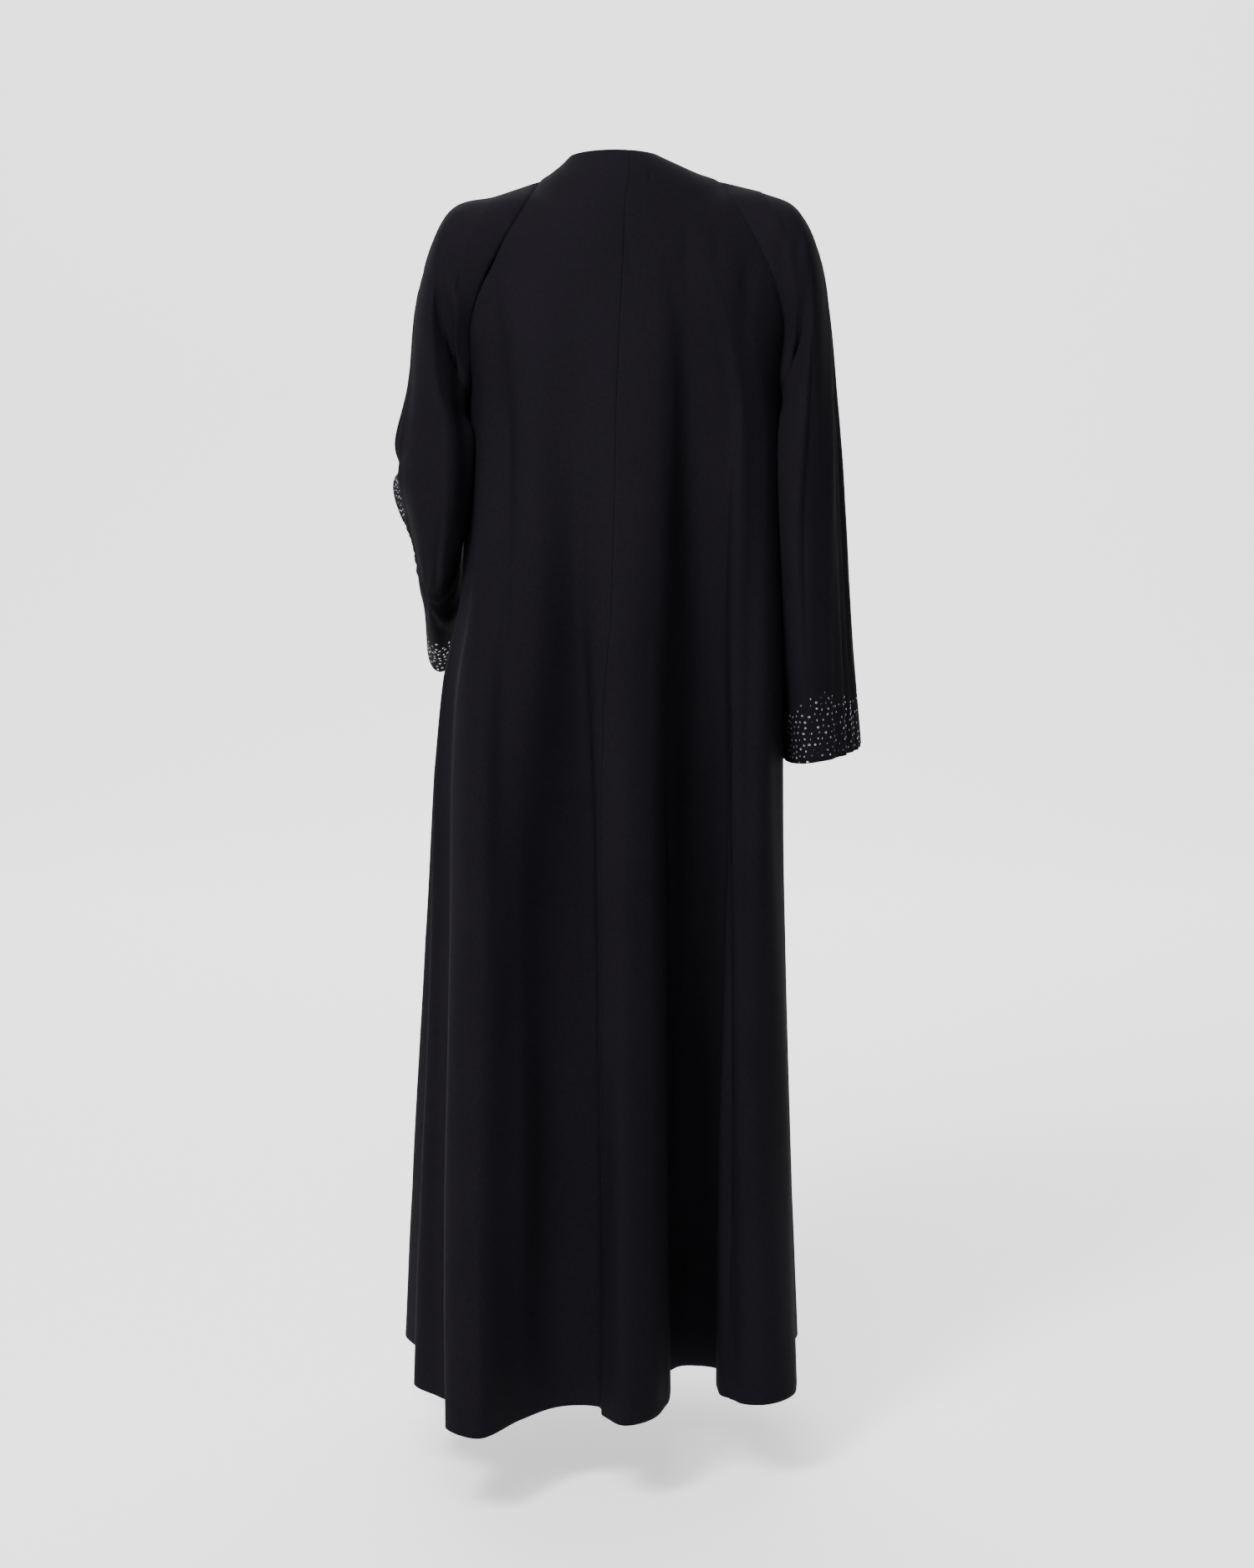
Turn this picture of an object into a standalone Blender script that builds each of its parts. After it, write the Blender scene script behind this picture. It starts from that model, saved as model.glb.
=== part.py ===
"""A full-length raglan-sleeved abaya in its worn shape, as walls of cloth.

Metres. +Z is up, the front faces -Y and the wearer's left is +X. The origin is
midway between the shoulders, at the height where they carry the garment.
"""

import math
from collections import namedtuple

import bmesh
import bpy
from mathutils import Vector

# Cloth and seams
WALL = 0.002
SEAM_GAP = 0.0003
LAP_HALF = 0.015  # how far each front reaches past the centre front
LAP_CLEAR = 0.0012  # between the two fronts where they lap
LAP_FLAT = 0.030  # the upper front lies raised this far from the centre front
LAP_RAMP = 0.060  # and is back on the body's surface here

# Mesh fineness
HEM_STEP = 0.030
NECK_ROWS = 3
ARMHOLE_ROWS = 12
SKIRT_ROWS = 18
RING_ROWS = 3

UNDERARM_Z = -0.250
HEM_Z = -1.370
FOLD_START_Z = -0.070

# The yoke, row by row from the neck edge to the underarm. "half" and "side_*" are
# the outer end of a row: the shoulder seam down to SHOULDER_ROW, then the armhole.
# "skew" turns the middle of a row, so that the centre-back seam leans at the neck.
Yoke = namedtuple("Yoke", "centre half side_y side_z arc back back_z front front_z skew")
SHOULDER_ROW = 3
YOKE = (
    Yoke(0.006, 0.051, 0.000, 0.017, 90, 0.051, 0.025, 0.060, -0.056, -22),
    Yoke(0.000, 0.066, 0.000, 0.009, 90, 0.064, 0.012, 0.074, -0.065, -14),
    Yoke(-0.005, 0.083, 0.000, 0.000, 90, 0.078, -0.005, 0.089, -0.078, -8),
    Yoke(-0.010, 0.099, 0.000, -0.008, 90, 0.090, -0.026, 0.102, -0.094, -2),
    Yoke(-0.011, 0.110, 0.040, -0.026, 74, 0.099, -0.050, 0.112, -0.112, 0),
    Yoke(-0.011, 0.126, 0.062, -0.052, 66, 0.106, -0.078, 0.120, -0.131, 0),
    Yoke(-0.010, 0.143, 0.074, -0.083, 63, 0.111, -0.108, 0.126, -0.152, 0),
    Yoke(-0.009, 0.161, 0.075, -0.120, 65, 0.115, -0.142, 0.130, -0.175, 0),
    Yoke(-0.008, 0.173, 0.062, -0.163, 71, 0.118, -0.178, 0.132, -0.199, 0),
    Yoke(-0.007, 0.177, 0.036, -0.208, 81, 0.121, -0.214, 0.134, -0.224, 0),
    Yoke(-0.006, 0.175, 0.000, UNDERARM_Z, 90, 0.124, UNDERARM_Z, 0.135, UNDERARM_Z, 0),
)

# The body below the underarm, before its folds.
Level = namedtuple("Level", "z centre half_width back front")
LEVELS = (
    Level(UNDERARM_Z, -0.006, 0.175, 0.124, 0.135),
    Level(-0.350, -0.004, 0.178, 0.132, 0.140),
    Level(-0.480, 0.001, 0.182, 0.142, 0.147),
    Level(-0.570, 0.010, 0.192, 0.147, 0.152),
    Level(-0.680, 0.015, 0.197, 0.154, 0.158),
    Level(-0.880, 0.018, 0.203, 0.167, 0.170),
    Level(-1.190, 0.023, 0.215, 0.184, 0.188),
    Level(HEM_Z, 0.024, 0.222, 0.195, 0.200),
)

# Where each fold's crest or hollow stands at the hem, in turn from the centre back
# towards the wearer's left. "turn" is its place on the body in degrees, and "power"
# says how late it opens out on its way down.
Fold = namedtuple("Fold", "name turn x y power")
FOLDS = (
    Fold("centre_back", 4, 0.020, 0.212, 1.2),
    Fold("back_hollow_left", 17, 0.052, 0.193, 1.2),
    Fold("back_slope_left", 35, 0.103, 0.226, 1.2),
    Fold("back_crest_left", 55, 0.155, 0.283, 1.3),
    Fold("back_edge_left", 66, 0.192, 0.252, 1.7),
    Fold("side_tuck_left", 72, 0.185, 0.176, 2.2),
    Fold("side_crest_left", 78, 0.206, 0.147, 2.2),
    Fold("side_edge_left", 84, 0.235, 0.106, 1.7),
    Fold("side_seam_left", 90, 0.224, 0.022, 1.3),
    Fold("hip_crest_left", 99, 0.258, -0.066, 1.3),
    Fold("hip_turn_left", 105, 0.251, -0.100, 1.3),
    Fold("front_tuck_left", 113, 0.212, -0.130, 1.5),
    Fold("front_crest_left", 122, 0.206, -0.196, 1.3),
    Fold("front_turn_left", 129, 0.182, -0.216, 1.3),
    Fold("front_hollow_left", 142, 0.139, -0.170, 1.3),
    Fold("front_ridge_left", 153, 0.104, -0.228, 1.3),
    Fold("ridge_turn_left", 160, 0.080, -0.235, 1.3),
    Fold("front_dip_left", 171, 0.046, -0.200, 1.2),
    Fold("centre_front", 180, 0.014, -0.208, 1.2),
    Fold("front_dip_right", 191, -0.028, -0.197, 1.2),
    Fold("ridge_turn_right", 202, -0.060, -0.235, 1.3),
    Fold("front_ridge_right", 209, -0.086, -0.236, 1.3),
    Fold("front_hollow_right", 221, -0.114, -0.172, 1.3),
    Fold("front_turn_right", 233, -0.154, -0.210, 1.3),
    Fold("front_crest_right", 240, -0.178, -0.195, 1.3),
    Fold("front_tuck_right", 250, -0.186, -0.134, 1.5),
    Fold("hip_turn_right", 258, -0.208, -0.104, 1.3),
    Fold("hip_crest_right", 264, -0.213, -0.074, 1.3),
    Fold("side_seam_right", 270, -0.192, 0.010, 1.3),
    Fold("side_edge_right", 279, -0.203, 0.104, 1.6),
    Fold("side_crest_right", 287, -0.197, 0.140, 1.5),
    Fold("back_crest_right", 299, -0.160, 0.175, 1.2),
    Fold("back_edge_right", 312, -0.116, 0.160, 1.3),
    Fold("deep_foot_right", 319, -0.107, 0.056, 1.3),
    Fold("deep_foot_left", 334, -0.064, 0.051, 1.3),
    Fold("ridge_edge_right", 343, -0.054, 0.176, 1.2),
    Fold("ridge_slope_right", 348, -0.037, 0.218, 1.2),
    Fold("ridge_crest", 355, -0.004, 0.240, 1.2),
)

# Rings of the sleeves from the shoulder to the cuff, with x away from the body.
# A ring's outer point is centre + lateral, its back point centre + depth + belly.
# "drop" is how far a hanging ring follows the table DROP.
Ring = namedtuple("Ring", "centre lateral depth belly drop")
SLEEVE_LEFT = (
    Ring((0.157, 0.000, -0.137), (-0.020, 0.113), (0, 0.080, 0), (0.022, 0.020), 0),
    Ring((0.186, 0.000, -0.152), (0.006, 0.109), (0, 0.074, 0), (0.014, 0.025), 0),
    Ring((0.206, 0.004, -0.205), (0.020, 0.074), (0, 0.078, -0.005), (0, 0.010), 0),
    Ring((0.208, 0.010, -0.262), (0.030, 0.027), (-0.006, 0.078, -0.022), (-0.006, 0), 0),
    Ring((0.217, 0.014, -0.321), (0.036, 0.012), (-0.010, 0.074, -0.048), (-0.008, 0), 0),
    Ring((0.216, -0.012, -0.369), (0.034, 0.004), (-0.008, 0.060, -0.062), (-0.004, 0), 0.3),
    Ring((0.217, -0.080, -0.420), (0.032, 0), (-0.012, 0.030, -0.100), (0, 0), 0.8),
    Ring((0.222, -0.150, -0.457), (0.036, 0), (-0.018, 0.012, -0.118), (0, 0), 1.0),
)
SLEEVE_RIGHT = (
    Ring((0.171, 0.000, -0.134), (-0.016, 0.115), (0, 0.080, 0), (0.020, 0.020), 0),
    Ring((0.194, 0.000, -0.150), (0.005, 0.109), (0, 0.076, 0), (0.012, 0.025), 0),
    Ring((0.211, -0.002, -0.195), (0.017, 0.083), (0, 0.080, 0), (0, 0.010), 0),
    Ring((0.217, -0.006, -0.287), (0.030, 0.018), (-0.004, 0.082, 0), (-0.005, 0), 0),
    Ring((0.222, -0.014, -0.384), (0.035, 0), (-0.009, 0.088, 0), (-0.009, 0), 0),
    Ring((0.227, -0.022, -0.512), (0.039, 0), (-0.010, 0.097, 0), (-0.009, 0), 0),
    Ring((0.234, -0.030, -0.652), (0.044, 0.006), (-0.010, 0.108, 0), (-0.006, 0), 0),
)

# A cuff hanging from a bent arm, from its foot (1) to its top (-1).
Drop = namedtuple("Drop", "at shift width")
DROP = (
    Drop(1.0, 0.010, 1.00),
    Drop(0.5, -0.006, 0.75),
    Drop(-0.1, -0.016, 0.58),
    Drop(-0.5, -0.006, 1.05),
    Drop(-1.0, 0.014, 1.32),
)

# Every panel's name, its first and last lines of cloth, and whether it is a back.
Panel = namedtuple("Panel", "name first last back")
PANELS = (
    Panel("back_left", "centre_back", "side_seam_left", True),
    Panel("front_left", "side_seam_left", "centre_front", False),
    Panel("front_right", "centre_front", "side_seam_right", False),
    Panel("back_right", "side_seam_right", "centre_back", True),
)


def catmull(before, start, end, after, share):
    """A point between start and end on a centripetal Catmull-Rom curve."""
    t0 = 0.0
    t1 = max((start - before).length, 1e-6) ** 0.5
    t2 = t1 + max((end - start).length, 1e-6) ** 0.5
    t3 = t2 + max((after - end).length, 1e-6) ** 0.5
    t = t1 + (t2 - t1) * share
    a1 = before * ((t1 - t) / (t1 - t0)) + start * ((t - t0) / (t1 - t0))
    a2 = start * ((t2 - t) / (t2 - t1)) + end * ((t - t1) / (t2 - t1))
    a3 = end * ((t3 - t) / (t3 - t2)) + after * ((t - t2) / (t3 - t2))
    b1 = a1 * ((t2 - t) / (t2 - t0)) + a2 * ((t - t0) / (t2 - t0))
    b2 = a2 * ((t3 - t) / (t3 - t1)) + a3 * ((t - t1) / (t3 - t1))
    return b1 * ((t2 - t) / (t2 - t1)) + b2 * ((t - t1) / (t2 - t1))


def between(table, position):
    """A table's row at a fractional index, on a smooth curve through its rows."""
    last = len(table) - 1
    index = min(int(position), last - 1)
    share = position - index
    rows = [table[max(0, min(last, index + k))] for k in (-1, 0, 1, 2)]
    values = []
    for p, q, r, s in zip(*rows):
        slope_q = (r - p) / 2 if index > 0 else r - q
        slope_r = (s - q) / 2 if index < last - 1 else r - q
        square, cube = share * share, share**3
        values.append(
            q * (2 * cube - 3 * square + 1)
            + slope_q * (cube - 2 * square + share)
            + r * (3 * square - 2 * cube)
            + slope_r * (cube - square)
        )
    return type(table[0])(*values)


def position_of(table, column, value):
    """The fractional index where a falling column of a table reaches a value."""
    for index in range(len(table) - 1):
        upper = getattr(table[index], column)
        lower = getattr(table[index + 1], column)
        if value >= lower:
            return index + (upper - value) / (upper - lower)
    return len(table) - 1


def ellipse_point(level, turn):
    """A point of the unfolded body, at a turn in radians from the centre back."""
    depth = level.back if math.cos(turn) > 0 else level.front
    return Vector(
        (level.centre + level.half_width * math.sin(turn), depth * math.cos(turn), level.z)
    )


def make_columns():
    """The lines of cloth round the hem: turn, place at the hem, power and fold."""
    columns = []
    count = len(FOLDS)
    places = [Vector((f.x, f.y, HEM_Z)) for f in FOLDS]
    for index, fold in enumerate(FOLDS):
        after = FOLDS[(index + 1) % count]
        start, end = places[index], places[(index + 1) % count]
        before, beyond = places[index - 1], places[(index + 2) % count]
        steps = max(1, round((end - start).length / HEM_STEP))
        span = (after.turn - fold.turn) % 360
        for step in range(steps):
            share = step / steps
            columns.append(
                {
                    "turn": math.radians(fold.turn + span * share),
                    "hem": catmull(before, start, end, beyond, share),
                    "power": fold.power + (after.power - fold.power) * share,
                    "fold": fold.name if step == 0 else "",
                }
            )
    return columns


def folded(base, column, z):
    """A point of the smooth body, moved as far as its fold has opened at that height."""
    if z >= FOLD_START_Z:
        return base
    opened = (FOLD_START_Z - z) / (FOLD_START_Z - HEM_Z)
    offset = column["hem"] - ellipse_point(LEVELS[-1], column["turn"])
    return base + offset * opened ** column["power"]


def skirt_point(column, z):
    level = between(LEVELS, position_of(LEVELS, "z", z))._replace(z=z)
    return folded(ellipse_point(level, column["turn"]), column, z)


def yoke_point(row, column, back):
    """A point of a yoke row, which runs from its centre line to its outer end."""
    turn = math.degrees(column["turn"])
    near = (turn + 180) % 360 - 180 if back else 180 - turn
    near += row.skew * max(0, 1 - abs(near) / 90) if back else 0
    arc = math.radians(row.arc)
    angle = near / 90 * arc
    depth, middle_z = (row.back, row.back_z) if back else (row.front, row.front_z)
    rise = (1 - math.cos(angle)) / (1 - math.cos(arc))
    x = row.centre + row.half * math.sin(angle) / math.sin(arc)
    y = depth + (row.side_y - depth) * rise
    z = middle_z + (row.side_z - middle_z) * rise
    return folded(Vector((x, y if back else -y, z)), column, z)


def panel_grid(columns, panel):
    """A panel's rows of points from the neck edge to the hem."""
    names = [c["fold"] for c in columns]
    start, end = names.index(panel.first), names.index(panel.last)
    if end < start:
        end += len(columns)
    chosen = [columns[i % len(columns)] for i in range(start, end + 1)]
    rows = []
    for index in range(NECK_ROWS + ARMHOLE_ROWS):
        if index <= NECK_ROWS:
            position = SHOULDER_ROW * index / NECK_ROWS
        else:
            share = (index - NECK_ROWS) / ARMHOLE_ROWS
            position = SHOULDER_ROW + (len(YOKE) - 1 - SHOULDER_ROW) * share
        row = between(YOKE, position)
        rows.append([yoke_point(row, c, panel.back) for c in chosen])
    for index in range(SKIRT_ROWS + 1):
        z = UNDERARM_Z + (HEM_Z - UNDERARM_Z) * index / SKIRT_ROWS
        rows.append([skirt_point(c, z) for c in chosen])
    return rows


def walk(points, distance):
    """The point a distance along a line of points from its start."""
    for start, end in zip(points, points[1:]):
        length = (end - start).length
        if distance <= length:
            return start.lerp(end, distance / length)
        distance -= length
    return points[-1]


def lapped(grid, other):
    """A front's rows, carried past the centre front along the other front's rows."""
    rows = []
    for row, across in zip(grid, other):
        rows.append(row + [walk(across, LAP_HALF * share) for share in (0.5, 1.0)])
    return rows


def sleeve_grid(table, side, back, front):
    """A sleeve's rings: the armhole's loop first, then down to the cuff."""
    first, last = NECK_ROWS, NECK_ROWS + ARMHOLE_ROWS
    loop = [back[i].copy() for i in range(first, last)]
    loop += [front[i].copy() for i in range(last, first, -1)]
    table = [Ring(*(Vector(v) if isinstance(v, tuple) else v for v in row)) for row in table]
    grid = [loop]
    for step in range((len(table) - 1) * RING_ROWS + 1):
        ring = between(table, step / RING_ROWS)
        points = []
        for index in range(len(loop)):
            angle = 2 * math.pi * index / len(loop)
            across, along = math.cos(angle), math.sin(angle)
            hang = between(DROP, position_of(DROP, "at", along))
            width = 1 + (hang.width - 1) * ring.drop
            point = ring.centre + ring.depth * along
            point.x += ring.lateral[0] * across * width + hang.shift * ring.drop
            point.z += ring.lateral[1] * across
            point.x += ring.belly[0] * along * along
            point.z += ring.belly[1] * along * along
            point.x *= side
            points.append(point)
        grid.append(points)
    return grid


def key(point):
    return tuple(round(value, 6) for value in point)


def cells(piece):
    """The corners of each cell of a piece's grid, in turn round it."""
    grid = piece["grid"]
    width = len(grid[0])
    for r in range(len(grid) - 1):
        for c in range(width if piece["closed"] else width - 1):
            d = (c + 1) % width
            yield (r, c), (r, d), (r + 1, d), (r + 1, c)


def shared_normals(pieces):
    """One outward direction at each point, shared by the pieces that meet there."""
    body, sleeves = {}, {}
    for piece in pieces:
        grid = piece["grid"]
        found = sleeves if piece["closed"] else body
        for corners in cells(piece):
            a, b, c, d = (grid[r][k] for r, k in corners)
            normal = (c - a).cross(d - b).normalized() * piece["facing"]
            for point in (a, b, c, d):
                found[key(point)] = found.get(key(point), Vector()) + normal
    normals = {}
    for found in (body, sleeves):
        for place, normal in found.items():
            normals[place] = normals.get(place, Vector()) + normal.normalized()
    return {place: normal.normalized() for place, normal in normals.items()}


def seam_shift(into, line, normal):
    """Half the seam's gap, square to the seam, on the side that into points to."""
    aside = normal.cross(line)
    if aside.length < 0.5 * line.length:
        aside = into - line * into.dot(line) / line.length_squared
    if aside.dot(into) < 0:
        aside = -aside
    return aside.normalized() * SEAM_GAP / 2


def shifted(piece, r, c, normal):
    """A grid point moved back from the seams it lies on."""
    grid = piece["grid"]
    height, width = len(grid), len(grid[0])
    here = grid[r][c]
    if piece["closed"]:
        if r > 0:
            return here
        line = grid[0][(c + 1) % width] - grid[0][(c - 1) % width]
        return here + seam_shift(grid[1][c] - here, line, normal)
    moved = here.copy()
    for end, beside, name in ((0, 1, "first"), (width - 1, width - 2, "last")):
        if c != end or name not in piece["seams"]:
            continue
        above, below = grid[max(0, r - 1)][c], grid[min(height - 1, r + 1)][c]
        lines = [below - above]
        if r in (NECK_ROWS, NECK_ROWS + ARMHOLE_ROWS):
            lines = [here - above, below - here]
        for line in lines:
            moved += seam_shift(grid[r][beside] - here, line, normal)
    return moved


def lift_of(piece, r, c):
    """How far the upper front is raised where it lies over the lower one."""
    if not piece["upper"]:
        return 0.0
    row = piece["grid"][r]
    centre = piece["centre"]
    steps = range(min(c, centre), max(c, centre))
    distance = sum((row[k + 1] - row[k]).length for k in steps)
    share = (distance - LAP_FLAT) / (LAP_RAMP - LAP_FLAT)
    if c > centre or share <= 0:
        return WALL + LAP_CLEAR
    return (WALL + LAP_CLEAR) * (1 - min(share, 1.0)) ** 2 * (1 + 2 * min(share, 1.0))


def wall(piece, normals, collection):
    """A closed wall of cloth about a piece's grid."""
    grid = piece["grid"]
    height, width = len(grid), len(grid[0])
    mesh = bmesh.new()
    outer, inner = {}, {}
    for r in range(height):
        for c in range(width):
            normal = normals[key(grid[r][c])]
            point = shifted(piece, r, c, normal) + normal * lift_of(piece, r, c)
            outer[r, c] = mesh.verts.new(point + normal * WALL / 2)
            inner[r, c] = mesh.verts.new(point - normal * WALL / 2)
    for corners in cells(piece):
        a, b, c, d = corners
        if (outer[a].co - outer[c].co).length < (outer[b].co - outer[d].co).length:
            halves = (a, b, c), (a, c, d)
        else:
            halves = (a, b, d), (b, c, d)
        for half in halves:
            mesh.faces.new([outer[place] for place in half])
            mesh.faces.new([inner[place] for place in reversed(half)])
    for line in edges_of(height, width, piece["closed"]):
        for a, b in zip(line, line[1:]):
            if key(grid[a[0]][a[1]]) > key(grid[b[0]][b[1]]):
                mesh.faces.new((outer[b], outer[a], inner[a]))
                mesh.faces.new((outer[b], inner[a], inner[b]))
            else:
                mesh.faces.new((outer[b], outer[a], inner[b]))
                mesh.faces.new((outer[a], inner[a], inner[b]))
    bmesh.ops.recalc_face_normals(mesh, faces=mesh.faces)
    data = bpy.data.meshes.new(piece["name"])
    mesh.to_mesh(data)
    mesh.free()
    data.materials.append(piece["material"])
    collection.objects.link(bpy.data.objects.new(piece["name"], data))


def edges_of(height, width, closed):
    """The lines of grid places along a piece's free edges."""
    if closed:
        return [[(r, c % width) for c in range(width + 1)] for r in (0, height - 1)]
    top = [(0, c) for c in range(width)]
    right = [(r, width - 1) for r in range(height)]
    bottom = [(height - 1, c) for c in range(width - 1, -1, -1)]
    left = [(r, 0) for r in range(height - 1, -1, -1)]
    return [top, right, bottom, left]


def crepe(name, colour):
    """Matt black crepe."""
    material = bpy.data.materials.new(name)
    material.use_nodes = True
    shader = material.node_tree.nodes["Principled BSDF"]
    shader.inputs["Base Color"].default_value = colour
    shader.inputs["Roughness"].default_value = 0.85
    return material


def make_pieces():
    columns = make_columns()
    grids = {p.name: panel_grid(columns, p) for p in PANELS}
    # The fronts' rows run to the centre front, and so does the walk past it.
    left = grids["front_left"]
    right = [row[::-1] for row in grids["front_right"]]
    arms = {
        "sleeve_left": (SLEEVE_LEFT, 1, "back_left", -1, left),
        "sleeve_right": (SLEEVE_RIGHT, -1, "back_right", 0, right),
    }
    pieces = []
    for name in ("back_left", "back_right"):
        pieces.append(piece_of(name, grids[name], 1, ("first", "last")))
    for name, grid, other, facing in (
        ("front_left", left, right, 1),
        ("front_right", right, left, -1),
    ):
        across = [row[::-1] for row in other]
        piece = piece_of(name, lapped(grid, across), facing, ("first",))
        piece["upper"] = name == "front_right"
        piece["centre"] = len(grid[0]) - 1
        pieces.append(piece)
    for name, (table, side, back, end, front) in arms.items():
        back_edge = [row[end] for row in grids[back]]
        front_edge = [row[0] for row in front]
        grid = sleeve_grid(table, side, back_edge, front_edge)
        pieces.append(piece_of(name, grid, -side, (), closed=True))
    return pieces


def piece_of(name, grid, facing, seams, closed=False):
    return {
        "name": name,
        "grid": grid,
        "facing": facing,
        "seams": seams,
        "closed": closed,
        "upper": False,
        "centre": 0,
        "material": crepe(f"crepe_{name}", (0.012, 0.011, 0.014, 1)),
    }


def build():
    for thing in list(bpy.data.objects):
        bpy.data.objects.remove(thing)
    collection = bpy.data.collections.new("abaya")
    bpy.context.scene.collection.children.link(collection)
    pieces = make_pieces()
    normals = shared_normals(pieces)
    for piece in pieces:
        wall(piece, normals, collection)


build()
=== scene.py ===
import math
from collections import namedtuple

import bmesh
import bpy
import numpy as np
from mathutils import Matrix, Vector
from mathutils.bvhtree import BVHTree


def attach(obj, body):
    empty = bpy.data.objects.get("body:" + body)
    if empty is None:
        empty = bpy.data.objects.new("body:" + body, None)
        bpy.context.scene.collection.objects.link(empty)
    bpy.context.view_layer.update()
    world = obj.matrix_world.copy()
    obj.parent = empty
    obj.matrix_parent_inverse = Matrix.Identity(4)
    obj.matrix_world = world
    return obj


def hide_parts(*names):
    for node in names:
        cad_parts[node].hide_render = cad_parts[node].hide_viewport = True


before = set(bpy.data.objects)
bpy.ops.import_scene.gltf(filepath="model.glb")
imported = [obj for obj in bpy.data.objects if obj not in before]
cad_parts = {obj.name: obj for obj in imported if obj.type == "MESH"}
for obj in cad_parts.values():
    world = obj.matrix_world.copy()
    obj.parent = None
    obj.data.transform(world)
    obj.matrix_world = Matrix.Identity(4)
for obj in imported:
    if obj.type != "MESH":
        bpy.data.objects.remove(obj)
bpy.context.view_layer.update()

# Metres. +Z is up, the front faces -Y and the wearer's left is +X, as in the frame.

garment = {
    "clothThickness": 0.0011,
    "hemStep": 0.0050,  # between lines of cloth at the hem
    "neckRows": 20,
    "armholeRows": 60,
    "skirtRows": 190,
    "sleeveSteps": 22,  # between two rings of a sleeve's table
    "easedRows": 14,  # above and below the underarm
    "easings": 30,
    "seamGap": 0.0001,
    "lapHalf": 0.015,  # how far each front reaches past the centre front
    "lapLift": 0.0030,  # how far the upper front is raised over the lower one
    "lapFlat": 0.024,
    "lapRamp": 0.060,
    "underarmZ": -0.250,
    "hemZ": -1.370,
    "foldStartZ": -0.070,
    "shoulderRow": 3,
}

# The yoke from the neck edge to the underarm, as in the solids
Yoke = namedtuple("Yoke", "centre half sideY sideZ arc back backZ front frontZ skew")
yokeRows = [
    Yoke(0.006, 0.051, 0.000, 0.017, 90, 0.051, 0.025, 0.060, -0.056, -22),
    Yoke(0.000, 0.066, 0.000, 0.009, 90, 0.064, 0.012, 0.074, -0.065, -14),
    Yoke(-0.005, 0.083, 0.000, 0.000, 90, 0.078, -0.005, 0.089, -0.078, -8),
    Yoke(-0.010, 0.099, 0.000, -0.008, 90, 0.090, -0.026, 0.102, -0.094, -2),
    Yoke(-0.011, 0.110, 0.040, -0.026, 74, 0.099, -0.050, 0.112, -0.112, 0),
    Yoke(-0.011, 0.126, 0.062, -0.052, 66, 0.106, -0.078, 0.120, -0.131, 0),
    Yoke(-0.010, 0.143, 0.074, -0.083, 63, 0.111, -0.108, 0.126, -0.152, 0),
    Yoke(-0.009, 0.161, 0.075, -0.120, 65, 0.115, -0.142, 0.130, -0.175, 0),
    Yoke(-0.008, 0.173, 0.062, -0.163, 71, 0.118, -0.178, 0.132, -0.199, 0),
    Yoke(-0.007, 0.177, 0.036, -0.208, 81, 0.121, -0.214, 0.134, -0.224, 0),
    Yoke(-0.006, 0.175, 0.000, -0.250, 90, 0.124, -0.250, 0.135, -0.250, 0),
]

# The body below the underarm, before its folds
Level = namedtuple("Level", "z centre halfWidth back front")
levels = [
    Level(-0.250, -0.006, 0.175, 0.124, 0.135),
    Level(-0.350, -0.004, 0.178, 0.132, 0.140),
    Level(-0.480, 0.001, 0.182, 0.142, 0.147),
    Level(-0.570, 0.010, 0.192, 0.147, 0.152),
    Level(-0.680, 0.015, 0.197, 0.154, 0.158),
    Level(-0.880, 0.018, 0.203, 0.167, 0.170),
    Level(-1.190, 0.023, 0.215, 0.184, 0.188),
    Level(-1.370, 0.024, 0.222, 0.195, 0.200),
]

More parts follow.
